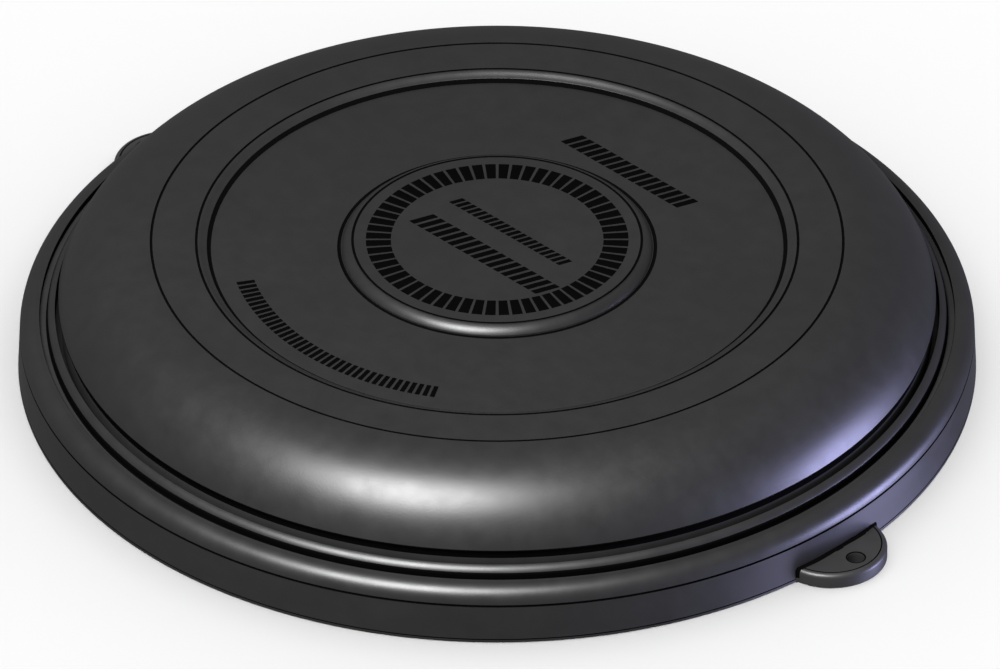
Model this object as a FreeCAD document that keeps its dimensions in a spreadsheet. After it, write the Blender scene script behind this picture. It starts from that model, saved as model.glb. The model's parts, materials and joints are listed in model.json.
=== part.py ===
"""Magnet-held manhole cover: moulded dome on a rubber rim with two pull tabs.

Row frame in mm: +Z up, origin at the centre of the skirt's bottom edge, tabs on +X and -X.
"""
import FreeCAD
import Part
import Sketcher
import math
import os
import re

V = FreeCAD.Vector
DOC = FreeCAD.newDocument("manhole_cover")
SIZES = DOC.addObject("Spreadsheet::Sheet", "Sizes")

DIMENSIONS = {
    # rim ring
    "rim_radius": 340.0,
    "rim_edge_round": 1.2,
    "skirt_straight": 16.0,
    "shoulder_radius": 338.6,
    "shoulder_height": 31.0,
    "shoulder_round": 12.6,
    "rim_lip_radius": 324.4,
    "socket_radius": 329.5,
    "socket_depth": 15.0,
    "rim_inner_radius": 326.0,
    "tongue_radius": 304.0,
    # levels of the clamped stack, bottom to top
    "seal_top": 18.0,
    "carrier_top": 27.0,
    "keeper_top": 30.0,
    "tongue_top": 32.2,
    "gasket_top": 33.0,
    "flange_top": 36.0,
    "foot_top": 39.4,
    "ring_inner_radius": 296.0,
    # bead of the retaining ring
    "bead_inner_radius": 313.4,
    "bead_outer_radius": 319.2,
    "bead_height": 49.2,
    "bead_shoulder": 43.9,
    "bead_round": 9.0,
    # dome
    "dome_wall": 5.0,
    "dome_top": 106.4,
    "dome_flat_radius": 245.5,
    "dome_round": 69.0,
    "dome_lip_radius": 311.2,
    "dome_neck_radius": 309.0,
    "step_outer_radius": 213.4,
    "step_inner_radius": 204.6,
    "recess_floor": 101.1,
    "cup_radius": 25.0,
    "cup_floor": 91.0,
    # medallion
    "medallion_radius": 110.4,
    "medallion_top_radius": 102.5,
    "medallion_top": 107.2,
    "medallion_round": 11.0,
    "medallion_wall": 3.0,
    "peg_circle": 96.0,
    "peg_radius": 3.0,
    "peg_end": 91.0,
    "peg_count": 8,
    "clip_radius": 7.0,
    "clip_thickness": 1.2,
    "bar_inner_radius": 75.2,
    "bar_outer_radius": 93.0,
    "bar_width": 6.2,
    "bar_depth": 0.8,
    "bar_proud": 0.2,
    "bar_count": 60,
    # centre bolt
    "bolt_radius": 6.0,
    "thread_gap": 0.05,
    "bolt_hole_radius": 6.5,
    "bolt_flats": 9.0,
    "bolt_head": 7.5,
    "bolt_end": 15.6,
    "washer_radius": 12.0,
    "washer_thickness": 2.4,
    "nut_height": 10.0,
    # rib frame
    "hub_radius": 29.0,
    "rib_reach": 303.0,
    "rib_thickness": 6.0,
    "rib_count": 8,
    "rib_clearance": 0.5,
    "ring_rib_radius": 150.0,
    "boss_radius": 9.0,
    # base pan
    "pan_radius": 303.6,
    "pan_wall": 3.0,
    "pan_bead_radius": 225.0,
    "pan_bead_width": 12.0,
    "pan_bead_depth": 3.0,
    "pan_screw_radius": 3.0,
    "pan_screw_head_radius": 5.5,
    "pan_screw_head": 3.5,
    "pan_screw_length": 18.0,
    "pan_screw_count": 8,
    # magnets and clamp screws
    "magnet_circle": 310.0,
    "magnet_radius": 9.0,
    "magnet_height": 7.0,
    "magnet_count": 24,
    "screw_circle": 316.4,
    "screw_radius": 2.0,
    "screw_head_radius": 3.8,
    "screw_head": 3.0,
    "screw_end": 43.4,
    "screw_count": 24,
    # pull tabs
    "tab_centre": 331.8,
    "tab_radius": 39.9,
    "tab_thickness": 11.2,
    "tab_edge_round": 3.5,
    "tab_foot_round": 0.8,
    "tab_root_round": 4.5,
    "tab_hole_x": 356.6,
    "tab_hole_radius": 6.0,
    "hinge_x": 346.0,
    "hinge_gap": 0.15,
    "hinge_depth": 0.3,
    "hinge_relief": 2.2,
}

for row, (alias, number) in enumerate(DIMENSIONS.items(), start=1):
    SIZES.set(f"A{row}", alias)
    SIZES.set(f"B{row}", str(number))
    SIZES.setAlias(f"B{row}", alias)
DOC.recompute()


def value(expression):
    """The number a size expression gives."""
    return float(SIZES.evalExpression(str(expression)))


def linked(expression):
    """The same expression with every size name pointing at the sheet."""
    return re.sub(r"\b([a-z][a-z_0-9]*)\b(?!\s*\()", r"Sizes.\1", str(expression))


def new_body(label):
    body = DOC.addObject("PartDesign::Body", label)
    body.Label = label
    return body


def origin_plane(body, role):
    return next(item for item in body.Origin.OriginFeatures if item.Role == role)


def new_sketch(body, name, role="XZ_Plane", lift=None):
    sketch = body.newObject("Sketcher::SketchObject", name)
    sketch.AttachmentSupport = [(origin_plane(body, role), "")]
    sketch.MapMode = "FlatFace"
    if lift is not None:
        sketch.setExpression(".AttachmentOffset.Base.z", linked(lift))
    return sketch


def pin_point(sketch, geometry, end, across, up):
    """Fix one end of a line or arc at two size expressions from the sketch's origin."""
    for kind, other_axis, size in (("DistanceX", -2, across), ("DistanceY", -1, up)):
        if abs(value(size)) < 1e-9:
            sketch.addConstraint(Sketcher.Constraint("PointOnObject", geometry, end, other_axis))
            continue
        number = value(size)
        text = linked(size)
        index = sketch.addConstraint(Sketcher.Constraint(kind, -1, 1, geometry, end, number))
        sketch.setExpression(f"Constraints[{index}]", text)


def arc_between(start, end, radius, side):
    """Arc from start to end; side +1 has its centre on the left of the way, -1 on the right."""
    chord = end - start
    middle = (start + end) * 0.5
    half = chord.Length / 2
    rise = math.sqrt(max(radius * radius - half * half, 0.0))
    left = V(-chord.y, chord.x, 0).normalize()
    centre = middle + left * (rise * side)
    first, last = (start, end) if side > 0 else (end, start)
    low = math.atan2(first.y - centre.y, first.x - centre.x)
    high = math.atan2(last.y - centre.y, last.x - centre.x)
    circle = Part.Circle(centre, V(0, 0, 1), radius)
    return Part.ArcOfCircle(circle, low, high)


def draw_loop(sketch, corners):
    """A closed outline.

    Each corner is (across, up) or (across, up, radius, side): the last two make the edge that
    leaves this corner an arc.
    """
    points = [V(value(c[0]), value(c[1]), 0) for c in corners]
    count = len(corners)
    ends = []
    for i, corner in enumerate(corners):
        start = points[i]
        end = points[(i + 1) % count]
        if len(corner) == 2:
            index = sketch.addGeometry(Part.LineSegment(start, end), False)
            ends.append((index, 1, 2))
            continue
        radius = value(corner[2])
        index = sketch.addGeometry(arc_between(start, end, radius, corner[3]), False)
        ends.append((index, 1, 2) if corner[3] > 0 else (index, 2, 1))
        bound = sketch.addConstraint(Sketcher.Constraint("Radius", index, radius))
        sketch.setExpression(f"Constraints[{bound}]", linked(corner[2]))
    for i in range(count):
        here = ends[i]
        after = ends[(i + 1) % count]
        sketch.addConstraint(Sketcher.Constraint("Coincident", here[0], here[2], after[0], after[1]))
    for (index, first, _), corner in zip(ends, corners):
        pin_point(sketch, index, first, corner[0], corner[1])


def draw_circle(sketch, across, up, radius):
    centre = V(value(across), value(up), 0)
    index = sketch.addGeometry(Part.Circle(centre, V(0, 0, 1), value(radius)), False)
    bound = sketch.addConstraint(Sketcher.Constraint("Radius", index, value(radius)))
    sketch.setExpression(f"Constraints[{bound}]", linked(radius))
    pin_point(sketch, index, 3, across, up)


def revolve(body, name, corners, subtract=False):
    sketch = new_sketch(body, name + "_profile")
    draw_loop(sketch, corners)
    kind = "PartDesign::Groove" if subtract else "PartDesign::Revolution"
    feature = body.newObject(kind, name)
    feature.Profile = sketch
    feature.ReferenceAxis = (sketch, ["V_Axis"])
    feature.Angle = 360
    DOC.recompute()
    return feature


def revolve_about(body, name, corners, axis_at, top):
    """A small turned piece about its own vertical axis at a distance from the centre."""
    sketch = new_sketch(body, name + "_profile")
    draw_loop(sketch, corners)
    low = V(value(axis_at), 0, 0)
    high = V(value(axis_at), value(top), 0)
    index = sketch.addGeometry(Part.LineSegment(low, high), True)
    pin_point(sketch, index, 1, axis_at, "0")
    pin_point(sketch, index, 2, axis_at, top)
    feature = body.newObject("PartDesign::Revolution", name)
    feature.Profile = sketch
    feature.ReferenceAxis = (sketch, ["Axis0"])
    feature.Angle = 360
    DOC.recompute()
    return feature


def pad(body, name, sketch, height, midplane=False):
    feature = body.newObject("PartDesign::Pad", name)
    feature.Profile = sketch
    feature.setExpression("Length", linked(height))
    feature.Midplane = midplane
    DOC.recompute()
    return feature


def pocket(body, name, sketch, depth=None, upward=False, midplane=False):
    """Cut a sketch out of the body: right through, or to a depth."""
    before = body.Shape.Volume
    feature = body.newObject("PartDesign::Pocket", name)
    feature.Profile = sketch
    feature.Midplane = midplane
    feature.Reversed = upward
    if depth is None:
        feature.Type = "ThroughAll"
    else:
        feature.setExpression("Length", linked(depth))
    DOC.recompute()
    if not feature.Shape.Volume < before - 1e-6:
        raise ValueError(f"{body.Label}: {name} removes nothing")
    return feature


def polar(body, name, features, count):
    pattern = body.newObject("PartDesign::PolarPattern", name)
    pattern.Originals = features
    pattern.Axis = (origin_plane(body, "Z_Axis"), [""])
    pattern.Angle = 360
    pattern.setExpression("Occurrences", linked(count))
    body.Tip = pattern
    DOC.recompute()
    return pattern


def ring_of_holes(body, name, circle, radius, count, depth=None, lift=None, half_step=False):
    """Round holes on a circle, right through or blind upward from a level."""
    sketch = new_sketch(body, name + "_outline", "XY_Plane", lift)
    if half_step:
        turn = 180.0 / value(count)
        across = f"{circle} * cos({turn})"
        up = f"{circle} * sin({turn})"
        draw_circle(sketch, across, up, radius)
    else:
        draw_circle(sketch, circle, "0", radius)
    if depth is None:
        hole = pocket(body, name, sketch, midplane=True)
    else:
        hole = pocket(body, name, sketch, depth, upward=True)
    return polar(body, name + "_ring", [hole], count)


def hexagon(sketch, flats):
    """Hexagon about the origin with two flats facing +Y and -Y; flats is centre to flat."""
    corners = []
    for k in range(6):
        turn = 60.0 * k
        corners.append((f"{flats} / cos(30) * cos({turn})", f"{flats} / cos(30) * sin({turn})"))
    draw_loop(sketch, corners)


def arc_level(radius, at):
    """Level of a dome arc of the given radius at a distance from the cover's axis."""
    reach = f"({at} - dome_flat_radius)"
    return f"dome_top - dome_round + sqrt(({radius}) * ({radius}) - {reach} * {reach})"


def make_rim_ring():
    body = new_body("rim_ring")
    revolve(body, "rim", [
        ("socket_radius", "0"),
        ("rim_radius - rim_edge_round", "0", "rim_edge_round", 1),
        ("rim_radius", "rim_edge_round"),
        ("rim_radius", "skirt_straight"),
        ("shoulder_radius", "shoulder_height", "shoulder_round", 1),
        ("shoulder_radius - shoulder_round", "shoulder_height + shoulder_round"),
        ("rim_lip_radius", "shoulder_height + shoulder_round"),
        ("rim_lip_radius", "tongue_top"),
        ("tongue_radius", "tongue_top"),
        ("tongue_radius", "keeper_top"),
        ("rim_inner_radius", "keeper_top"),
        ("rim_inner_radius", "socket_depth"),
        ("socket_radius", "socket_depth"),
    ])
    ring_of_holes(body, "screw_hole", "screw_circle", "screw_radius + 0.2", "screw_count")
    return body


def make_dome_shell():
    body = new_body("dome_shell")
    inner = "dome_round - dome_wall"
    revolve(body, "dome", [
        ("bolt_hole_radius", "cup_floor - dome_wall"),
        ("cup_radius + dome_wall", "cup_floor - dome_wall"),
        ("cup_radius + dome_wall", "recess_floor - dome_wall"),
        ("step_inner_radius + 2", "recess_floor - dome_wall"),
        ("step_outer_radius + 2", "dome_top - dome_wall"),
        ("dome_flat_radius", "dome_top - dome_wall", inner, -1),
        ("tongue_radius", arc_level(inner, "tongue_radius")),
        ("tongue_radius", "gasket_top"),
        ("rim_lip_radius", "gasket_top"),
        ("rim_lip_radius", "flange_top"),
        ("dome_neck_radius", "flange_top"),
        ("dome_neck_radius", arc_level("dome_round", "dome_lip_radius") + " - 1"),
        ("dome_lip_radius", arc_level("dome_round", "dome_lip_radius")
         , "dome_round", 1),
        ("dome_flat_radius", "dome_top"),
        ("step_outer_radius", "dome_top"),
        ("step_inner_radius", "recess_floor"),
        ("cup_radius", "recess_floor"),
        ("cup_radius", "cup_floor"),
        ("bolt_hole_radius", "cup_floor"),
    ])
    ring_of_holes(body, "screw_hole", "screw_circle", "screw_radius + 0.2", "screw_count")
    ring_of_holes(body, "peg_hole", "peg_circle", "peg_radius + 0.2", "peg_count", half_step=True)
    return body


def make_flange_gasket():
    body = new_body("flange_gasket")
    revolve(body, "gasket", [
        ("tongue_radius", "tongue_top"),
        ("rim_lip_radius", "tongue_top"),
        ("rim_lip_radius", "gasket_top"),
        ("tongue_radius", "gasket_top"),
    ])
    ring_of_holes(body, "screw_hole", "screw_circle", "screw_radius + 0.2", "screw_count")
    return body


def make_retaining_ring():
    body = new_body("retaining_ring")
    revolve(body, "bead", [
        ("bead_inner_radius", "flange_top"),
        ("rim_lip_radius", "flange_top"),
        ("rim_lip_radius", "foot_top"),
        ("bead_outer_radius", "foot_top"),
        ("bead_outer_radius", "bead_shoulder", "bead_round", 1),
        ("bead_inner_radius", "bead_height"),
    ])
    ring_of_holes(body, "thread", "screw_circle", "screw_radius + thread_gap", "screw_count",
                  "screw_end - flange_top", "flange_top")
    return body


def make_medallion():
    body = new_body("medallion")
    revolve(body, "cap", [
        ("0", "medallion_top - medallion_wall"),
        ("medallion_radius - 6", "medallion_top - medallion_wall"),
        ("medallion_radius - 6", "recess_floor"),
        ("medallion_radius", "recess_floor", "medallion_round", 1),
        ("medallion_top_radius", "medallion_top"),
        ("0", "medallion_top"),
    ])
    sketch = new_sketch(body, "peg_outline", "XY_Plane", "peg_end")
    turn = 180.0 / value("peg_count")
    draw_circle(sketch, f"peg_circle * cos({turn})", f"peg_circle * sin({turn})", "peg_radius")
    peg = pad(body, "peg", sketch, "medallion_top - medallion_wall - peg_end + 0.5")
    polar(body, "peg_ring", [peg], "peg_count")
    sketch = new_sketch(body, "slot_outline", "XY_Plane", "medallion_top")
    draw_bar(sketch)
    slot = pocket(body, "slot", sketch, "bar_depth")
    polar(body, "slot_ring", [slot], "bar_count")
    return body


def draw_bar(sketch):
    """One radial bar on +X."""
    draw_loop(sketch, [
        ("bar_inner_radius", "-bar_width / 2"),
        ("bar_outer_radius", "-bar_width / 2"),
        ("bar_outer_radius", "bar_width / 2"),
        ("bar_inner_radius", "bar_width / 2"),
    ])


def make_medallion_bars():
    body = new_body("medallion_bars")
    sketch = new_sketch(body, "bar_outline", "XY_Plane", "medallion_top - bar_depth")
    draw_bar(sketch)
    bar = pad(body, "bar", sketch, "bar_depth + bar_proud")
    polar(body, "bar_ring", [bar], "bar_count")
    return body


def make_medallion_clips():
    body = new_body("medallion_clips")
    under = "recess_floor - dome_wall"
    sketch = new_sketch(body, "clip_outline", "XY_Plane", under + " - clip_thickness")
    turn = 180.0 / value("peg_count")
    across = f"peg_circle * cos({turn})"
    up = f"peg_circle * sin({turn})"
    draw_circle(sketch, across, up, "clip_radius")
    draw_circle(sketch, across, up, "peg_radius")
    clip = pad(body, "clip", sketch, "clip_thickness")
    polar(body, "clip_ring", [clip], "peg_count")
    return body


def make_rib_frame():
    body = new_body("rib_frame")
    revolve(body, "hub", [
        ("bolt_hole_radius", "gasket_top"),
        ("hub_radius", "gasket_top"),
        ("hub_radius", "cup_floor - dome_wall"),
        ("bolt_hole_radius", "cup_floor - dome_wall"),
    ])
    sketch = new_sketch(body, "rib_outline")
    arc = "dome_round - dome_wall - rib_clearance"
    crown = "dome_top - dome_wall - rib_clearance"
    floor = "recess_floor - dome_wall"
    draw_loop(sketch, [
        ("hub_radius - 2", "gasket_top"),
        ("rib_reach", "gasket_top"),
        ("rib_reach", arc_level(arc, "rib_reach"), arc, 1),
        ("dome_flat_radius", crown),
        ("step_outer_radius + 4", crown),
        ("step_outer_radius + 4", floor),
        ("cup_radius + dome_wall + 1", floor),
        ("cup_radius + dome_wall + 1", "cup_floor - dome_wall - 4"),
        ("hub_radius - 2", "cup_floor - dome_wall - 4"),
    ])
    for centre, radius in ((70, 18), (115, 18), (187, 20), (262, 16)):
        draw_circle(sketch, str(centre), "gasket_top + 31", str(radius))
    rib = pad(body, "rib", sketch, "rib_thickness", midplane=True)
    polar(body, "rib_ring", [rib], "rib_count")
    revolve(body, "ring_rib", [
        ("ring_rib_radius - rib_thickness / 2", "gasket_top"),
        ("ring_rib_radius + rib_thickness / 2", "gasket_top"),
        ("ring_rib_radius + rib_thickness / 2", floor),
        ("ring_rib_radius - rib_thickness / 2", floor),
    ])
    sketch = new_sketch(body, "boss_outline", "XY_Plane", "gasket_top")
    turn = 180.0 / value("rib_count")
    across = f"ring_rib_radius * cos({turn})"
    up = f"ring_rib_radius * sin({turn})"
    draw_circle(sketch, across, up, "boss_radius")
    boss = pad(body, "boss", sketch, "pan_screw_length + 6")
    polar(body, "boss_ring", [boss], "rib_count")
    thread = "pan_screw_radius + thread_gap"
    ring_of_holes(body, "thread", "ring_rib_radius", thread, "pan_screw_count",
                  "pan_screw_length - pan_wall", "gasket_top", half_step=True)
    return body


def make_base_pan():
    body = new_body("base_pan")
    low = "pan_bead_radius - pan_bead_width"
    high = "pan_bead_radius + pan_bead_width"
    revolve(body, "pan", [
        ("bolt_hole_radius", "keeper_top"),
        (low + " - pan_bead_depth", "keeper_top"),
        (low, "keeper_top - pan_bead_depth"),
        (high, "keeper_top - pan_bead_depth"),
        (high + " + pan_bead_depth", "keeper_top"),
        ("pan_radius", "keeper_top"),
        ("pan_radius", "keeper_top + pan_wall"),
        (high + " + pan_bead_depth - 1", "keeper_top + pan_wall"),
        (high + " - 1", "keeper_top + pan_wall - pan_bead_depth"),
        (low + " + 1", "keeper_top + pan_wall - pan_bead_depth"),
        (low + " - pan_bead_depth + 1", "keeper_top + pan_wall"),
        ("bolt_hole_radius", "keeper_top + pan_wall"),
    ])
    ring_of_holes(body, "screw_hole", "ring_rib_radius", "pan_screw_radius + 0.3",
                  "pan_screw_count", half_step=True)
    return body


def make_pan_screws():
    body = new_body("pan_screws")
    axis = "ring_rib_radius"
    head = "keeper_top - pan_screw_head"
    sketch = new_sketch(body, "shank_outline", "XY_Plane", "keeper_top")
    turn = 180.0 / value("pan_screw_count")
    across = f"{axis} * cos({turn})"
    up = f"{axis} * sin({turn})"
    draw_circle(sketch, across, up, "pan_screw_radius")
    shank = pad(body, "shank", sketch, "pan_screw_length - 0.5")
    sketch = new_sketch(body, "head_outline", "XY_Plane", head)
    draw_circle(sketch, across, up, "pan_screw_head_radius")
    cap = pad(body, "head", sketch, "pan_screw_head")
    polar(body, "screw_ring", [shank, cap], "pan_screw_count")
    return body


def make_hub_bolt():
    body = new_body("hub_bolt")
    seat = "cup_floor + washer_thickness"
    sketch = new_sketch(body, "shank_outline", "XY_Plane", "bolt_end")
    draw_circle(sketch, "0", "0", "bolt_radius")
    pad(body, "shank", sketch, seat + " - bolt_end")
    sketch = new_sketch(body, "head_outline", "XY_Plane", seat)
    hexagon(sketch, "bolt_flats")
    pad(body, "head", sketch, "bolt_head")
    return body


def make_hub_washers():
    body = new_body("hub_washers")
    for name, level in (("upper", "cup_floor"), ("lower", "keeper_top - washer_thickness")):
        revolve(body, name, [
            ("bolt_radius + 0.2", level),
            ("washer_radius", level),
            ("washer_radius", level + " + washer_thickness"),
            ("bolt_radius + 0.2", level + " + washer_thickness"),
        ])
    return body


def make_hub_nut():
    body = new_body("hub_nut")
    sketch = new_sketch(body, "nut_outline", "XY_Plane",
                        "keeper_top - washer_thickness - nut_height")
    hexagon(sketch, "bolt_flats")
    draw_circle(sketch, "0", "0", "bolt_radius + thread_gap")
    pad(body, "nut", sketch, "nut_height")
    return body


def make_magnet_carrier():
    body = new_body("magnet_carrier")
    revolve(body, "carrier", [
        ("ring_inner_radius", "seal_top"),
        ("rim_inner_radius", "seal_top"),
        ("rim_inner_radius", "carrier_top"),
        ("ring_inner_radius", "carrier_top"),
    ])
    ring_of_holes(body, "screw_hole", "screw_circle", "screw_radius + 0.2", "screw_count")
    ring_of_holes(body, "head_seat", "screw_circle", "screw_head_radius + 0.3", "screw_count",
                  "screw_head", "seal_top")
    ring_of_holes(body, "magnet_seat", "magnet_circle", "magnet_radius", "magnet_count",
                  "magnet_height", "seal_top", half_step=True)
    return body


def make_magnets():
    body = new_body("magnets")
    sketch = new_sketch(body, "magnet_outline", "XY_Plane", "seal_top")
    turn = 180.0 / value("magnet_count")
    draw_circle(sketch, f"magnet_circle * cos({turn})", f"magnet_circle * sin({turn})",
                "magnet_radius")
    magnet = pad(body, "magnet", sketch, "magnet_height")
    polar(body, "magnet_ring", [magnet], "magnet_count")
    return body


def make_keeper_ring():
    body = new_body("keeper_ring")
    revolve(body, "keeper", [
        ("ring_inner_radius", "carrier_top"),
        ("rim_inner_radius", "carrier_top"),
        ("rim_inner_radius", "keeper_top"),
        ("ring_inner_radius", "keeper_top"),
    ])
    ring_of_holes(body, "screw_hole", "screw_circle", "screw_radius + 0.2", "screw_count")
    return body


def make_seat_seal():
    body = new_body("seat_seal")
    revolve(body, "seal", [
        ("ring_inner_radius", "socket_depth"),
        ("rim_inner_radius", "socket_depth"),
        ("rim_inner_radius", "seal_top"),
        ("ring_inner_radius", "seal_top"),
    ])
    return body


def make_clamp_screws():
    body = new_body("clamp_screws")
    screw = revolve_about(body, "screw", [
        ("screw_circle", "seal_top"),
        ("screw_circle + screw_head_radius", "seal_top"),
        ("screw_circle + screw_head_radius", "seal_top + screw_head"),
        ("screw_circle + screw_radius", "seal_top + screw_head"),
        ("screw_circle + screw_radius", "screw_end"),
        ("screw_circle", "screw_end"),
    ], "screw_circle", "screw_end")
    polar(body, "screw_ring", [screw], "screw_count")
    return body


def round_edges(body, name, base, wanted, radius):
    """Round the edges of a feature that the test picks."""
    names = [f"Edge{i}" for i, edge in enumerate(base.Shape.Edges, start=1) if wanted(edge)]
    if not names:
        raise ValueError(f"{body.Label}: {name} finds no edge")
    feature = body.newObject("PartDesign::Fillet", name)
    feature.Base = (base, names)
    feature.setExpression("Radius", linked(radius))
    DOC.recompute()
    return feature


def is_round_edge(edge, radius, level):
    curve = edge.Curve
    if not isinstance(curve, Part.Circle):
        return False
    same_size = abs(curve.Radius - value(radius)) < 1e-3
    return same_size and abs(edge.BoundBox.Center.z - value(level)) < 1e-3


def half_chord(across):
    """Half width of the tab's round outline at a distance from the cover's axis."""
    reach = f"({across} - tab_centre)"
    return f"sqrt(tab_radius * tab_radius - {reach} * {reach})"


def make_tab(label):
    body = new_body(label)
    start = "hinge_x + hinge_gap"
    sketch = new_sketch(body, "outline", "XY_Plane")
    draw_loop(sketch, [
        (start, "-" + half_chord(start), "tab_radius", 1),
        ("tab_centre + tab_radius", "0", "tab_radius", 1),
        (start, half_chord(start)),
    ])
    slab = pad(body, "slab", sketch, "tab_thickness")
    top = round_edges(body, "edge_round", slab,
                      lambda e: is_round_edge(e, "tab_radius", "tab_thickness"),
                      "tab_edge_round")
    round_edges(body, "foot_round", top,
                lambda e: is_round_edge(e, "tab_radius", "0"),
                "tab_foot_round")
    sketch = new_sketch(body, "hole_outline", "XY_Plane")
    draw_circle(sketch, "tab_hole_x", "0", "tab_hole_radius")
    pocket(body, "hook_hole", sketch, midplane=True)
    sketch = new_sketch(body, "relief_outline", "XZ_Plane")
    draw_loop(sketch, [
        ("hinge_x - 4", "-1"),
        (start + " + hinge_relief", "-1"),
        (start, "tab_thickness - hinge_depth"),
        ("hinge_x - 4", "tab_thickness - hinge_depth"),
    ])
    pocket(body, "relief", sketch, midplane=True)
    return body


def make_tab_root(label):
    body = new_body(label)
    end = "hinge_x - hinge_gap"
    meet = "(rim_radius ^ 2 - tab_radius ^ 2 + tab_centre ^ 2) / (2 * tab_centre)"
    width = f"sqrt(rim_radius ^ 2 - ({meet}) ^ 2)"
    sketch = new_sketch(body, "outline", "XY_Plane")
    draw_loop(sketch, [
        (meet, f"-{width}", "tab_radius", 1),
        (end, "-" + half_chord(end)),
        (end, half_chord(end), "tab_radius", 1),
        (meet, width, "rim_radius", -1),
    ])
    block = pad(body, "block", sketch, "tab_thickness")
    round_edges(body, "edge_round", block,
                lambda e: is_round_edge(e, "tab_radius", "tab_thickness"),
                "tab_edge_round")
    sketch = new_sketch(body, "root_profile")
    draw_loop(sketch, [
        ("rim_radius", "tab_thickness - 2"),
        ("rim_radius + 2", "tab_thickness - 2"),
        ("rim_radius + tab_root_round", "tab_thickness", "tab_root_round", -1),
        ("rim_radius", "tab_thickness + tab_root_round"),
    ])
    web = body.newObject("PartDesign::Revolution", "root_round")
    web.Profile = sketch
    web.ReferenceAxis = (sketch, ["V_Axis"])
    web.Midplane = True
    web.setExpression("Angle", linked(f"2 * (asin({width} / rim_radius)) - 1deg"))
    DOC.recompute()
    return body


BODIES = [
    make_rim_ring(),
    make_dome_shell(),
    make_flange_gasket(),
    make_retaining_ring(),
    make_medallion(),
    make_medallion_bars(),
    make_medallion_clips(),
    make_rib_frame(),
    make_base_pan(),
    make_pan_screws(),
    make_hub_bolt(),
    make_hub_washers(),
    make_hub_nut(),
    make_magnet_carrier(),
    make_magnets(),
    make_keeper_ring(),
    make_seat_seal(),
    make_clamp_screws(),
    make_tab_root("tab_root_right"),
    make_tab("tab_right"),
]
for maker, label in ((make_tab_root, "tab_root_left"), (make_tab, "tab_left")):
    mirrored = maker(label)
    mirrored.Placement = FreeCAD.Placement(V(0, 0, 0), FreeCAD.Rotation(V(0, 0, 1), 180))
    BODIES.append(mirrored)
DOC.recompute()

for item in DOC.Objects:
    bad = [word for word in item.State if word in ("Invalid", "Error")]
    if bad:
        raise ValueError(f"{item.Name}: {bad}")

os.makedirs("parts", exist_ok=True)
for body in BODIES:
    shape = body.Shape
    if shape.isNull() or not shape.isValid():
        raise ValueError(f"{body.Label} has no valid shape")
    shape.exportStep(f"parts/{body.Label}.step")
    box = shape.BoundBox
    print(f"{body.Label:18s} solids {len(shape.Solids):3d} volume {shape.Volume:12.0f} "
          f"x {box.XMin:7.1f} {box.XMax:7.1f} z {box.ZMin:6.1f} {box.ZMax:6.1f}")
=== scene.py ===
"""Magnet-held manhole cover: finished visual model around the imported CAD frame."""
import json
import math
import bpy
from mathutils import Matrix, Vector


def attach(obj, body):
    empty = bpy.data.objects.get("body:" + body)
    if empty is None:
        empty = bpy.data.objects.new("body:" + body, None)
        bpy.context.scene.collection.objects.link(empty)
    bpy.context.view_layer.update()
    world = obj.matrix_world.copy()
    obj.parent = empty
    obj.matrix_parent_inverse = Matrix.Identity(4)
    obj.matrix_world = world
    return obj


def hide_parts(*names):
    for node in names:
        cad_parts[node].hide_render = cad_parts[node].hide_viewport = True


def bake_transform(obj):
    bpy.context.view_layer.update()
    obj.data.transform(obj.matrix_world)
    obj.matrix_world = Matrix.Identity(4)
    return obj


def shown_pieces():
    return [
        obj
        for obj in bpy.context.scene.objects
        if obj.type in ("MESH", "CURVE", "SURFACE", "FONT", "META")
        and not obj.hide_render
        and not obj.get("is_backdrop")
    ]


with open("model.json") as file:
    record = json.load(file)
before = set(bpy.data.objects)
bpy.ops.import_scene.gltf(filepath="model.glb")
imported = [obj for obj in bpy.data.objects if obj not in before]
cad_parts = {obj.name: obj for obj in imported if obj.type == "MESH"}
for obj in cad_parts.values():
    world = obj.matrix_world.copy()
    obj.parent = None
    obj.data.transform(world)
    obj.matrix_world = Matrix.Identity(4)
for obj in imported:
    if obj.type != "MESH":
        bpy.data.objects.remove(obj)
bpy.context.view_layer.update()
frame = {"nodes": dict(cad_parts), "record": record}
MM = 0.001
SEGMENTS = 480

# material numbers of marked faces; unmarked faces are 0. Number 1 is painted shade: near-black
# along creases, in grooves, under the dome lip and round the tabs. Number 2 is painted light: a
# lighter grey on shaded groove and hole walls.
PAINTED_SHADE, PAINTED_LIGHT = 1, 2

# heights and line width in mm
DOME_TOP = 106.4
RECESS_TOP = 101.1
MEDALLION_TOP = 107.2
LINE = 1.9


# ---------------------------------------------------------------- profiles

def rounded(corners, step=9.0):
    """Closed outline with rounded corners.

    Each corner is (r, z) or (r, z, rounding) in mm; gives a list of (r, z) points.
    """
    points = []
    count = len(corners)
    for i, corner in enumerate(corners):
        here = Vector(corner[:2])
        size = corner[2] if len(corner) > 2 else 0.0
        if size <= 0:
            points.append((here.x, here.y))
            continue
        back = (Vector(corners[i - 1][:2]) - here)
        ahead = (Vector(corners[(i + 1) % count][:2]) - here)
        half = back.angle(ahead) / 2
        reach = min(size / math.tan(half), back.length * 0.49, ahead.length * 0.49)
        size = reach * math.tan(half)
        back.normalize()
        ahead.normalize()
        centre = here + (back + ahead).normalized() * (size / math.sin(half))
        start = here + back * reach - centre
        turn = math.pi - 2 * half
        side = 1 if start.x * (here - centre).y - start.y * (here - centre).x > 0 else -1
        parts = max(2, round(math.degrees(turn) / step))
        for k in range(parts + 1):
            angle = side * turn * k / parts
            c, s = math.cos(angle), math.sin(angle)
            points.append((centre.x + start.x * c - start.y * s,
                           centre.y + start.x * s + start.y * c))
    return points


def arc(centre, radius, start, end, parts):
    """Points on an arc between two angles in degrees, measured from the outward direction."""
    out = []
    for k in range(parts + 1):
        a = math.radians(start + (end - start) * k / parts)
        out.append((centre[0] + radius * math.cos(a), centre[1] + radius * math.sin(a)))
    return out


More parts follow.
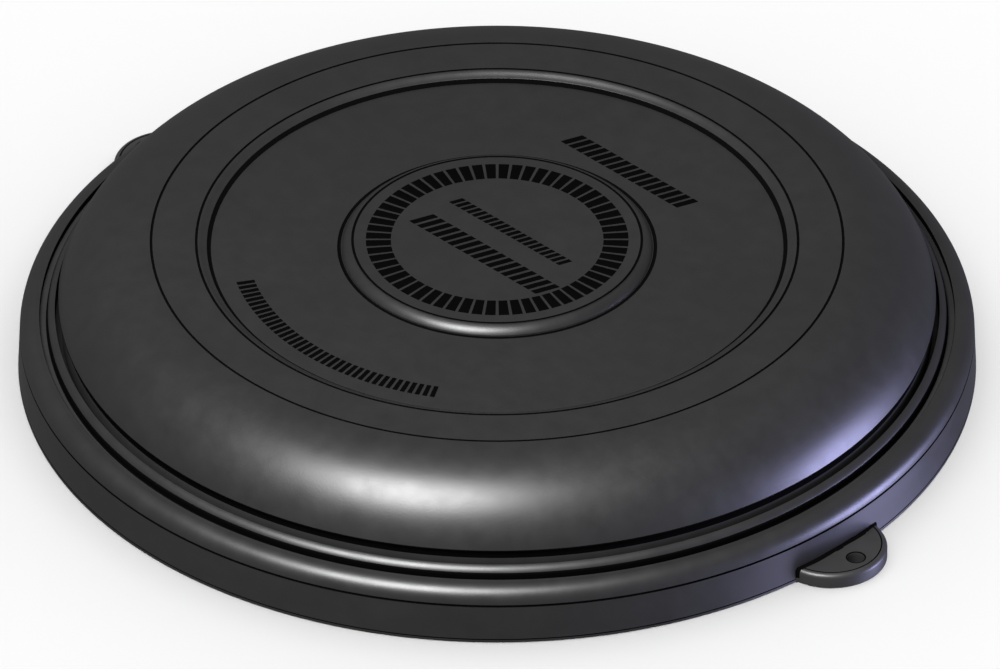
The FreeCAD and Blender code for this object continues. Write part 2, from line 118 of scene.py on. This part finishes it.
def notch(r, z, width, depth, across=(1, 0), into=(0, -1)):
    """A narrow witness groove across a run, listed in the run's own direction; its faces are
    painted shade, so it reads as a dark line.
    """
    w = width / 2
    out = [(r - across[0] * w * 1.5, z - across[1] * w * 1.5)]
    for u, d in ((-1, 0), (-0.6, 0.8), (0, 1), (0.6, 0.8), (1, 0)):
        out.append((r + across[0] * w * u + into[0] * depth * d,
                    z + across[1] * w * u + into[1] * depth * d, PAINTED_SHADE if u < 1 else 0))
    out.append((r + across[0] * w * 1.5, z + across[1] * w * 1.5))
    return out


def shade(points, mark):
    """The same run with the faces that leave its points marked."""
    return [(p[0], p[1], mark) for p in points]


def new_object(name, verts, faces, body="cover", smooth_angle=40, marks=None):
    """A mesh piece riding on a body; marks gives each face's material number."""
    mesh = bpy.data.meshes.new(name)
    mesh.from_pydata(verts, [], faces)
    if marks:
        mesh.polygons.foreach_set("material_index", marks)
    mesh.update()
    obj = bpy.data.objects.new(name, mesh)
    bpy.context.scene.collection.objects.link(obj)
    mesh.shade_smooth()
    mesh.set_sharp_from_angle(angle=math.radians(smooth_angle))
    if body:
        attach(obj, body)
    return obj


def lathe(name, profile):
    """Ring turned from a closed outline, listed anticlockwise with r to the right and z up."""
    marks = [p[2] if len(p) > 2 else 0 for p in profile]
    count = len(profile)
    verts = []
    for s in range(SEGMENTS):
        a = 2 * math.pi * s / SEGMENTS
        c, si = math.cos(a) * MM, math.sin(a) * MM
        verts.extend((p[0] * c, p[0] * si, p[1] * MM) for p in profile)
    faces = []
    for s in range(SEGMENTS):
        here, after = s * count, (s + 1) % SEGMENTS * count
        for k in range(count):
            n = (k + 1) % count
            faces.append((here + k, after + k, after + n, here + n))
    return new_object(name, verts, faces, marks=marks * SEGMENTS)


# ---------------------------------------------------------------- main turned pieces

DOME_CENTRE = (245.5, 37.4)
DOME_ROUND = 69.0
DOME_WALL = 5.0


def dome_profile():
    inner = DOME_ROUND - DOME_WALL
    out = [(6.5, 86.0), (30.0, 86.0), (30.0, 96.1), (206.6, 96.1), (215.4, 101.4)]
    start = math.degrees(math.acos((304.0 - DOME_CENTRE[0]) / inner))
    out += arc(DOME_CENTRE, inner, 90, start, 24)
    # Neck under the dome lip: its lower wall is painted light (a lighter grey); its upper wall
    # and the lip's underside are painted shade (near-black).
    out += [(304.0, 33.0), (324.4, 33.0), (324.4, 36.0), (309.0, 36.0, PAINTED_LIGHT)]
    out += [(309.0, 46.0, PAINTED_LIGHT), (309.0, 51.4, PAINTED_SHADE), (309.0, 56.6, PAINTED_SHADE), (309.3, 57.2, PAINTED_SHADE)]
    out += [(310.4, 57.6, PAINTED_SHADE)]
    low = math.degrees(math.acos((311.2 - DOME_CENTRE[0]) / DOME_ROUND))
    out += shade(arc(DOME_CENTRE, DOME_ROUND, low, low + 0.6, 1)[:1], PAINTED_SHADE)
    out += arc(DOME_CENTRE, DOME_ROUND, low + 0.6, 88.0, 60)
    # Witness grooves at the flat's edge and the step's top, each drawn dark with painted shade.
    out += notch(245.0, DOME_TOP, LINE, 0.9, across=(-1, 0))
    out += [(238.0, DOME_TOP), (226.0, DOME_TOP)]
    out += notch(213.0, DOME_TOP, LINE, 0.9, across=(-1, 0))
    # Recess step as an S-curve; its concave foot is painted shade.
    out += [(210.9, 106.1), (210.2, 105.75), (209.4, 105.25), (208.5, 104.62)]
    out += [(207.4, 103.98), (206.4, 103.5), (205.6, 103.2, PAINTED_SHADE), (203.8, 101.2, PAINTED_SHADE)]
    out += [(203.0, 101.0, PAINTED_SHADE), (202.6, RECESS_TOP)]
    out += [(200.0, RECESS_TOP), (170.0, RECESS_TOP), (140.0, RECESS_TOP)]
    # Groove round the medallion seat, drawn dark with painted shade.
    out += notch(112.0, RECESS_TOP, 2.6, 0.8, across=(-1, 0))
    out += [(60.0, RECESS_TOP), (25.0, RECESS_TOP), (25.0, 91.0), (6.5, 91.0)]
    return out


def rim_profile():
    out = rounded([(329.5, 0.0, 1.0), (340.0, 0.0, 1.2), (339.4, 15.0)])[:-1]
    # Witness grooves near the bottom edge and where the skirt meets the shoulder, both drawn dark
    # with painted shade.
    out += notch(339.85, 3.2, 0.9, 0.6, across=(0, 1), into=(-1, 0))
    out += [(339.7, 6.0), (339.3, 16.0), (338.9, 26.0)]
    out += notch(338.6, 30.9, LINE, 0.9, across=(0, 1), into=(-1, 0))
    out += arc((326.0, 31.0), 12.6, 9, 88, 26)
    # The lip and inner wall of the groove beside the bead are painted shade.
    out += [(326.0, 43.6), (325.0, 43.9), (324.7, 43.9, PAINTED_SHADE), (324.4, 43.6, PAINTED_SHADE), (324.4, 32.2)]
    out += [(304.0, 32.2), (304.0, 30.0), (326.0, 30.0)]
    out += rounded([(326.0, 20.0), (326.0, 15.0), (329.5, 15.0), (329.5, 8.0)])
    return out


def bead_profile():
    # The groove floor on the foot is painted light (a lighter grey); the outer wall, the lower
    # part of the round, the inner corner and the inner wall under the dome lip are painted shade.
    out = [(313.4, 36.0), (324.4, 36.0), (324.4, 39.4, PAINTED_LIGHT), (320.0, 39.4, PAINTED_SHADE)]
    out += [(319.3, 40.0, PAINTED_SHADE), (319.2, 43.6, PAINTED_SHADE)]
    out += shade(arc((310.8, 40.67), 9.0, 21, 31, 3)[:3], PAINTED_SHADE)
    out += arc((310.8, 40.67), 9.0, 31, 71, 12)
    out += [(313.65, 49.2, PAINTED_SHADE), (313.4, 48.9, PAINTED_SHADE), (313.4, 44.0, PAINTED_SHADE)]
    return out


def medallion_profile():
    # A thin band at the base crease and the groove along the top edge are painted shade.
    out = [(1.0, 104.2), (106.2, 104.2), (106.2, RECESS_TOP), (110.2, RECESS_TOP, PAINTED_SHADE)]
    out += arc((100.4, 96.4), 11.0, 27, 73, 14)
    out += notch(102.4, MEDALLION_TOP, LINE, 0.8, across=(-1, 0))
    out += [(r, MEDALLION_TOP) for r in (96.0, 84.0, 72.0, 40.0, 1.0)]
    return out


dome = lathe("dome_shell_skin", dome_profile())
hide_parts("dome_shell")
rim = lathe("rim_ring_skin", rim_profile())
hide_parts("rim_ring")
bead = lathe("retaining_ring_skin", bead_profile())
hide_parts("retaining_ring")


AXIS_ZONE = 1.5


def disc_cap(name, profile):
    """Turned piece whose outline runs from the axis round to the axis again."""
    inner = [p for p in profile if p[0] > AXIS_ZONE]
    marks = [p[2] if len(p) > 2 else 0 for p in inner[:-1]] + [0, 0]
    low_centre, high_centre = profile[0][1], profile[-1][1]
    count = len(inner)
    verts = []
    for s in range(SEGMENTS):
        a = 2 * math.pi * s / SEGMENTS
        c, si = math.cos(a) * MM, math.sin(a) * MM
        verts.extend((p[0] * c, p[0] * si, p[1] * MM) for p in inner)
    verts += [(0, 0, low_centre * MM), (0, 0, high_centre * MM)]
    low, high = len(verts) - 2, len(verts) - 1
    faces = []
    for s in range(SEGMENTS):
        here, after = s * count, (s + 1) % SEGMENTS * count
        for k in range(count - 1):
            faces.append((here + k, after + k, after + k + 1, here + k + 1))
        faces.append((here, low, after))
        faces.append((after + count - 1, high, here + count - 1))
    return new_object(name, verts, faces, marks=marks * SEGMENTS)


medallion = disc_cap("medallion_skin", medallion_profile())
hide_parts("medallion")


# ---------------------------------------------------------------- raised bars

BAR_EDGE = 0.35


def bar_block(verts, faces, corners, low, high):
    """One raised bar with softened top edges over four plan corners, all in mm."""
    centre = Vector((sum(c[0] for c in corners) / 4, sum(c[1] for c in corners) / 4))
    levels = ((0.0, low), (0.0, high - BAR_EDGE * 0.7),
              (BAR_EDGE * 0.4, high - BAR_EDGE * 0.15), (BAR_EDGE, high))
    base = len(verts)
    for inset, z in levels:
        for x, y in corners:
            toward = centre - Vector((x, y))
            move = toward.normalized() * inset * 1.3
            verts.append(((x + move.x) * MM, (y + move.y) * MM, z * MM))
    for level in range(len(levels) - 1):
        a, b = base + level * 4, base + level * 4 + 4
        for k in range(4):
            n = (k + 1) % 4
            faces.append((a + k, a + n, b + n, b + k))
    top = base + (len(levels) - 1) * 4
    faces.append((top, top + 1, top + 2, top + 3))
    faces.append((base + 3, base + 2, base + 1, base))


def radial_bars(name, count, inner, outer, width, low, high, start=0.0, span=360.0):
    """Ring or arc of bars that widen outward, with the given width at the outer radius."""
    verts, faces = [], []
    steps = count if span >= 360 else count - 1
    for k in range(count):
        a = math.radians(start + span * k / steps)
        out, side = Vector((math.cos(a), math.sin(a))), Vector((-math.sin(a), math.cos(a)))
        corners = []
        for r, w in ((inner, -1), (outer, -1), (outer, 1), (inner, 1)):
            p = out * r + side * (w * width * r / outer / 2)
            corners.append((p.x, p.y))
        bar_block(verts, faces, corners, low, high)
    return new_object(name, verts, faces, smooth_angle=30)


def slanted_row(name, x0, x1, y, height, pitch, width, slant, low, high):
    """Row of short slanted grip bars along +X."""
    verts, faces = [], []
    count = int((x1 - x0 - width) / pitch) + 1
    lean = height * slant / 2
    for k in range(count):
        x = x0 + k * pitch
        corners = [
            (x - lean, y - height / 2), (x + width - lean, y - height / 2),
            (x + width + lean, y + height / 2), (x + lean, y + height / 2),
        ]
        bar_block(verts, faces, corners, low, high)
    return new_object(name, verts, faces, smooth_angle=30)


bars = radial_bars("medallion_bars_skin", 60, 75.2, 93.0, 7.6,
                   MEDALLION_TOP - 0.6, MEDALLION_TOP + 0.2)
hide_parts("medallion_bars")
grip_rows = [
    slanted_row("grip_row_small", -55, 59, 13.5, 10, 5.6, 3.6, 0.35,
                MEDALLION_TOP - 0.5, MEDALLION_TOP + 0.25),
    slanted_row("grip_row_large", -57, 72, -19, 18, 7.6, 5.0, 0.35,
                MEDALLION_TOP - 0.5, MEDALLION_TOP + 0.25),
    slanted_row("grip_row_far", -57, 61, 132, 16, 7.4, 5.0, 0.35,
                RECESS_TOP - 0.5, RECESS_TOP + 0.35),
    radial_bars("grip_arc_near", 38, 176.5, 189.5, 3.4, RECESS_TOP - 0.5, RECESS_TOP + 0.35,
                start=270 - 31, span=62),
]


# ---------------------------------------------------------------- pull tabs

def fillet_rise(s, radius):
    """Height of a concave quarter round at distance s from the wall it climbs."""
    t = radius - min(max(s, 0.0), radius)
    return radius - math.sqrt(radius * radius - t * t)


def tab_mesh(name, side):
    """Pull tab with its flared root, rounded edge and hook hole, as one rubber moulding."""
    cx, big, thick, edge, foot = 331.8, 39.9, 11.2, 3.5, 0.8
    flare, skirt, buried = 1.6, 339.6, 337.5
    hx, hole_r = 356.6, 6.0
    free_steps, wall_steps = 140, 44
    count = free_steps + 1 + wall_steps - 1

    def ring(inset):
        """Plan outline a given distance inside the edge, closed off inside the rim."""
        r = big - inset
        end = math.acos((buried ** 2 - r ** 2 - cx ** 2) / (2 * r * cx))
        pts = []
        for k in range(free_steps + 1):
            t = 2 * k / free_steps - 1
            a = end * (t + 0.12 * math.sin(math.pi * t) / math.pi)
            c, d = math.cos(a), math.sin(a)
            wide = r + fillet_rise(math.hypot(cx + r * c, r * d) - skirt, flare)
            pts.append((cx + wide * c, wide * d))
        turn = math.atan2(pts[-1][1], pts[-1][0])
        for k in range(1, wall_steps):
            a = turn * (1 - 2 * k / wall_steps)
            pts.append((buried * math.cos(a), buried * math.sin(a)))
        return pts

    def top(pts, drop):
        return [(x, y, thick - drop + fillet_rise(math.hypot(x, y) - skirt, flare))
                for x, y in pts]

    # Rings listed in this set are painted shade: the tangent ring of the rounded edge, two inset
    # outline rings and the hook hole's rim.
    rings, dark = [], set()

    def add(pts, mark=False):
        if mark:
            dark.add(len(rings))
        rings.append(pts)

    for k in range(4):
        a = math.pi / 2 * k / 3
        z = foot * (1 - math.cos(a))
        add([(x, y, z) for x, y in ring(foot * (1 - math.sin(a)))])
    add([(x, y, 4.2) for x, y in ring(0.0)])
    for k in range(9):
        a = math.pi / 2 * k / 8
        add(top(ring(edge * (1 - math.cos(a))), edge * (1 - math.sin(a))), mark=k == 8)
    add(top(ring(edge + 0.25), 0.3), mark=True)
    add(top(ring(edge + 0.8), 0.3), mark=True)
    inner = ring(edge + 1.05)
    add(top(inner, 0.0))
    bearing = [math.atan2(y, x - hx) for x, y in inner]

    def hole(r):
        return [(hx + r * math.cos(a), r * math.sin(a)) for a in bearing]

    lip = hole(hole_r + 1.2)
    for k in range(1, 17):
        t = (k / 16) ** 1.1
        add(top([(p[0] + (q[0] - p[0]) * t, p[1] + (q[1] - p[1]) * t)
                 for p, q in zip(inner, lip)], 0.0), mark=k == 16)
    # The hook hole's outer rim rings are painted shade, drawing a dark ring round it.
    for r, drop in ((hole_r + 1.0, 0.3), (hole_r + 0.4, 0.3), (hole_r + 0.1, 0.35)):
        add([(x, y, thick - drop) for x, y in hole(r)], mark=r > hole_r + 0.2)
    # The next three rings span the hook hole's wall, which is painted light (the lighter grey of
    # mark 2).
    wall = range(len(rings), len(rings) + 3)
    for z in (thick - 0.7, 8.0, 4.0, 0.5):
        add([(x, y, z) for x, y in hole(hole_r)])
    add([(x, y, 0.12) for x, y in hole(hole_r + 0.15)])
    low_lip, low_edge = hole(hole_r + 0.5), ring(foot)
    for k in range(16):
        t = k / 16
        add([(p[0] + (q[0] - p[0]) * t, p[1] + (q[1] - p[1]) * t, 0.0)
             for p, q in zip(low_lip, low_edge)])
    verts = [(side * x * MM, side * y * MM, z * MM) for pts in rings for x, y, z in pts]
    faces, marks = [], []
    for i, pts in enumerate(rings):
        a, b = i * count, (i + 1) % len(rings) * count
        for k in range(count):
            n = (k + 1) % count
            faces.append((a + k, a + n, b + n, b + k))
            x, y, z = pts[k]
            gap = math.hypot(x, y) - skirt
            # Faces hugging the skirt above the floor are painted shade along the root crease.
            root = gap < 2.0 and z > 1.0
            marks.append(PAINTED_SHADE if i in dark or root else PAINTED_LIGHT if i in wall else 0)
    return new_object(name, verts, faces, body=None, marks=marks)


for side, word in ((1, "right"), (-1, "left")):
    tab = tab_mesh(f"tab_{word}_rubber", side)
    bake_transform(tab)
    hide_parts(f"tab_root_{word}", f"tab_{word}")


# ---------------------------------------------------------------- materials

class Nodes:
    """Small helper around one material's node tree."""

    def __init__(self, name):
        self.material = bpy.data.materials.new(name)
        self.material.use_nodes = True
        self.tree = self.material.node_tree
        self.shader = next(n for n in self.tree.nodes if n.type == "BSDF_PRINCIPLED")
        self.place = self.add("ShaderNodeTexCoord").outputs["Object"]

    def add(self, kind, inputs=None, **settings):
        node = self.tree.nodes.new(kind)
        for key, item in settings.items():
            setattr(node, key, item)
        for key, item in (inputs or {}).items():
            self.feed(node.inputs[key], item)
        return node

    def feed(self, socket, item):
        if isinstance(item, bpy.types.NodeSocket):
            self.tree.links.new(item, socket)
        else:
            socket.default_value = item

    def noise(self, scale, detail, rough=0.55):
        node = self.add("ShaderNodeTexNoise", {
            "Vector": self.place, "Scale": scale, "Detail": detail,
            "Roughness": rough})
        return node.outputs["Fac"]

    def between(self, value, low, high, to_low, to_high):
        node = self.add("ShaderNodeMapRange", {
            "Value": value, "From Min": low, "From Max": high,
            "To Min": to_low, "To Max": to_high})
        return node.outputs["Result"]

    def mix_colour(self, factor, a, b):
        node = self.add("ShaderNodeMix", data_type="RGBA")
        self.feed(node.inputs[0], factor)
        self.feed(node.inputs[6], a)
        self.feed(node.inputs[7], b)
        return node.outputs[2]

    def maths(self, operation, a, b):
        node = self.add("ShaderNodeMath", operation=operation)
        self.feed(node.inputs[0], a)
        self.feed(node.inputs[1], b)
        return node.outputs[0]


def grey(value, tint=(1.0, 1.0, 1.03)):
    return (value * tint[0], value * tint[1], value * tint[2], 1.0)


def moulded(name, base, rough, grain=900.0, grain_depth=0.00006, spread=0.08, specular=0.5):
    """Satin moulded plastic or rubber: fine grain, slight flow marks, faint handling marks."""
    n = Nodes(name)
    broad = n.noise(7.0, 4.0)
    fine = n.noise(60.0, 5.0, 0.6)
    blotch = n.maths("MULTIPLY", broad, fine)
    n.feed(n.shader.inputs["Base Color"], n.mix_colour(
        n.between(blotch, 0.15, 0.4, 0.0, 1.0),
        grey(base * (1 - spread)), grey(base * (1 + spread))))
    n.feed(n.shader.inputs["Roughness"], n.between(fine, 0.3, 0.7, rough - 0.03, rough + 0.03))
    bump = n.add("ShaderNodeBump", {
        "Height": n.noise(grain, 2.0), "Distance": grain_depth, "Strength": 0.6})
    n.feed(n.shader.inputs["Normal"], bump.outputs["Normal"])
    n.shader.inputs["Specular IOR Level"].default_value = specular
    return n.material


def paint(obj, *materials):
    """Gives the object its materials and keeps each face's material number."""
    marks = [p.material_index for p in obj.data.polygons]
    obj.data.materials.clear()
    for material in materials:
        obj.data.materials.append(material)
    if len(materials) > 1:
        obj.data.polygons.foreach_set("material_index", marks)


cover_plastic = moulded("satin_black_plastic", 0.0112, 0.38, specular=0.75)
rim_rubber = moulded("satin_black_rubber", 0.0112, 0.38, grain=700.0, specular=0.75)
# The tabs get a lighter copy of the rim rubber: painted light that lifts their shaded top faces.
tab_rubber = moulded("tab_rubber_painted_light", 0.020, 0.42, grain=700.0, specular=0.65)
inlay = moulded("matt_black_inlay", 0.0008, 0.9, specular=0.02)
# Near-black painted shade for faces of mark 1: creases, grooves, the dome lip's underside and the
# tab outlines.
shadow_line = moulded("painted_shade_black", 0.001, 0.9, specular=0.03)
# Lighter matt grey, painted light, for faces of mark 2: the dome neck's lower wall, the groove
# floor and the tabs' hook-hole walls.
painted_light_grey = moulded("matt_grey_painted_light", 0.020, 0.8, specular=0.10)
for piece in (dome, bead, medallion):
    paint(piece, cover_plastic, shadow_line, painted_light_grey)
paint(rim, rim_rubber, shadow_line)
for word in ("right", "left"):
    paint(bpy.data.objects[f"tab_{word}_rubber"], tab_rubber, shadow_line, painted_light_grey)
paint(bars, inlay)
for piece in grip_rows:
    paint(piece, inlay)


def metal(name, colour, rough, metallic=1.0):
    """Metal or coated metal with uneven tone and polish."""
    n = Nodes(name)
    streak = n.noise(220.0, 4.0)
    dark = tuple(c * 0.7 for c in colour) + (1.0,)
    light = tuple(min(c * 1.1, 1.0) for c in colour) + (1.0,)
    n.feed(n.shader.inputs["Base Color"], n.mix_colour(
        n.between(streak, 0.3, 0.7, 0.0, 1.0), dark, light))
    n.shader.inputs["Metallic"].default_value = metallic
    n.feed(n.shader.inputs["Roughness"], n.between(streak, 0.3, 0.7, rough - 0.06, rough + 0.08))
    bump = n.add("ShaderNodeBump", {"Height": streak, "Distance": 0.00004, "Strength": 0.4})
    n.feed(n.shader.inputs["Normal"], bump.outputs["Normal"])
    return n.material


FINISHES = {
    "seal_rubber": moulded("sponge_rubber", 0.02, 0.75, grain=400.0, grain_depth=0.0003),
    "frame_plastic": moulded("glass_filled_plastic", 0.03, 0.5, grain=300.0),
    "pan_steel": metal("black_coated_steel", (0.045, 0.045, 0.05), 0.42, metallic=0.0),
    "spring_steel": metal("spring_steel", (0.42, 0.41, 0.39), 0.3),
    "zinc_steel": metal("zinc_plated_steel", (0.50, 0.50, 0.48), 0.35, metallic=0.4),
    "magnet_ferrite": metal("sintered_ferrite", (0.06, 0.06, 0.065), 0.55, metallic=0.3),
    "cover_plastic": cover_plastic,
    "rim_rubber": rim_rubber,
    "inlay_plastic": inlay,
}
for row in frame["record"]["subparts"]:
    paint(frame["nodes"][row["node"]], FINISHES[row["material_slot"]])


# ---------------------------------------------------------------- stage, light and camera

REFLECTED_LEVEL = 0.12


def ground():
    """Pale floor: darker in reflections, and see-through from below to show the underside."""
    bpy.ops.mesh.primitive_circle_add(vertices=96, radius=20.0, fill_type="NGON")
    floor = bpy.context.object
    floor.name = "floor"
    n = Nodes("pale_floor")
    n.shader.inputs["Base Color"].default_value = (0.72, 0.72, 0.72, 1.0)
    n.shader.inputs["Emission Color"].default_value = (1.0, 1.0, 1.0, 1.0)
    n.shader.inputs["Emission Strength"].default_value = 0.25
    dim = n.add("ShaderNodeEmission", {"Color": (1, 1, 1, 1), "Strength": REFLECTED_LEVEL})
    seen = n.add("ShaderNodeMixShader")
    n.feed(seen.inputs[0], n.add("ShaderNodeLightPath").outputs["Is Glossy Ray"])
    n.tree.links.new(n.shader.outputs[0], seen.inputs[1])
    n.tree.links.new(dim.outputs[0], seen.inputs[2])
    n.shader.inputs["Roughness"].default_value = 0.9
    n.shader.inputs["Specular IOR Level"].default_value = 0.1
    clear = n.add("ShaderNodeBsdfTransparent")
    mix = n.add("ShaderNodeMixShader")
    n.feed(mix.inputs[0], n.add("ShaderNodeNewGeometry").outputs["Backfacing"])
    n.tree.links.new(seen.outputs[0], mix.inputs[1])
    n.tree.links.new(clear.outputs[0], mix.inputs[2])
    out = next(node for node in n.tree.nodes if node.type == "OUTPUT_MATERIAL")
    n.tree.links.new(mix.outputs[0], out.inputs["Surface"])
    paint(floor, n.material)
    floor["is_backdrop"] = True
    return floor


FLOOR_GAP = 0.0002
floor = ground()
floor.location.z = -FLOOR_GAP

world = bpy.data.worlds.new("studio")
bpy.context.scene.world = world
world.use_nodes = True
tree = world.node_tree
back = next(n for n in tree.nodes if n.type == "BACKGROUND")
back.inputs["Color"].default_value = (1.0, 1.0, 1.0, 1.0)
path = tree.nodes.new("ShaderNodeLightPath")
level = tree.nodes.new("ShaderNodeMapRange")
level.inputs["To Min"].default_value = 1.04
level.inputs["To Max"].default_value = REFLECTED_LEVEL
tree.links.new(path.outputs["Is Glossy Ray"], level.inputs["Value"])
tree.links.new(level.outputs["Result"], back.inputs["Strength"])


LAMP_TARGET = (0, 0, 0.05)
LAMP_DISTANCE = 3.0


def lamp(name, direction, size, power, colour, only, through_floor=False):
    """Round soft lamp aimed at the object; through_floor lets one below the floor reach it."""
    data = bpy.data.lights.new(name, "AREA")
    data.shape = "DISK"
    data.size = size
    data.energy = power
    data.color = colour
    obj = bpy.data.objects.new(name, data)
    bpy.context.scene.collection.objects.link(obj)
    d = Vector(direction).normalized()
    obj.location = Vector(LAMP_TARGET) + d * LAMP_DISTANCE
    obj.rotation_mode = "QUATERNION"
    obj.rotation_quaternion = d.to_track_quat("Z", "Y")
    obj.light_linking.receiver_collection = only
    if through_floor:
        obj.light_linking.blocker_collection = only


lit = bpy.data.collections.new("lit_pieces")
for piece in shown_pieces():
    lit.objects.link(piece)
lamp("key", (0.153, -0.539, 0.828), 1.6, 168.0, (1.0, 1.0, 1.0), only=lit)
lamp("cool_edge", (0.748, 0.653, -0.10), 1.3, 84.0, (0.55, 0.55, 1.0), only=lit,
     through_floor=True)
lamp("cool_low", (0.60, 0.50, -0.45), 2.4, 26.0, (0.60, 0.60, 1.0), only=lit,
     through_floor=True)
lamp("under", (-0.38, 0.38, -0.84), 2.0, 90.0, (1.0, 0.98, 0.95), only=lit,
     through_floor=True)

camera_data = bpy.data.cameras.new("camera")
camera = bpy.data.objects.new("camera", camera_data)
bpy.context.scene.collection.objects.link(camera)
bpy.context.scene.camera = camera
LENS = 1100.0
SENSOR_WIDTH = 36.0
camera_data.lens = LENS
camera_data.sensor_width = SENSOR_WIDTH
camera_data.clip_end = 60.0
FRAME_WIDTH = 0.7098
azimuth, elevation = math.radians(45.0), math.radians(35.264)
back_way = Vector((math.sin(azimuth) * math.cos(elevation),
                   -math.cos(azimuth) * math.cos(elevation), math.sin(elevation)))
right_way = Vector((math.cos(azimuth), math.sin(azimuth), 0.0))
up_way = back_way.cross(right_way)
aim = right_way * 0.0020 + up_way * 0.0202
camera.location = aim + back_way * (FRAME_WIDTH * LENS / SENSOR_WIDTH)
camera.rotation_mode = "QUATERNION"
camera.rotation_quaternion = back_way.to_track_quat("Z", "Y")
bpy.context.scene.view_settings.view_transform = "Standard"

bpy.context.view_layer.update()
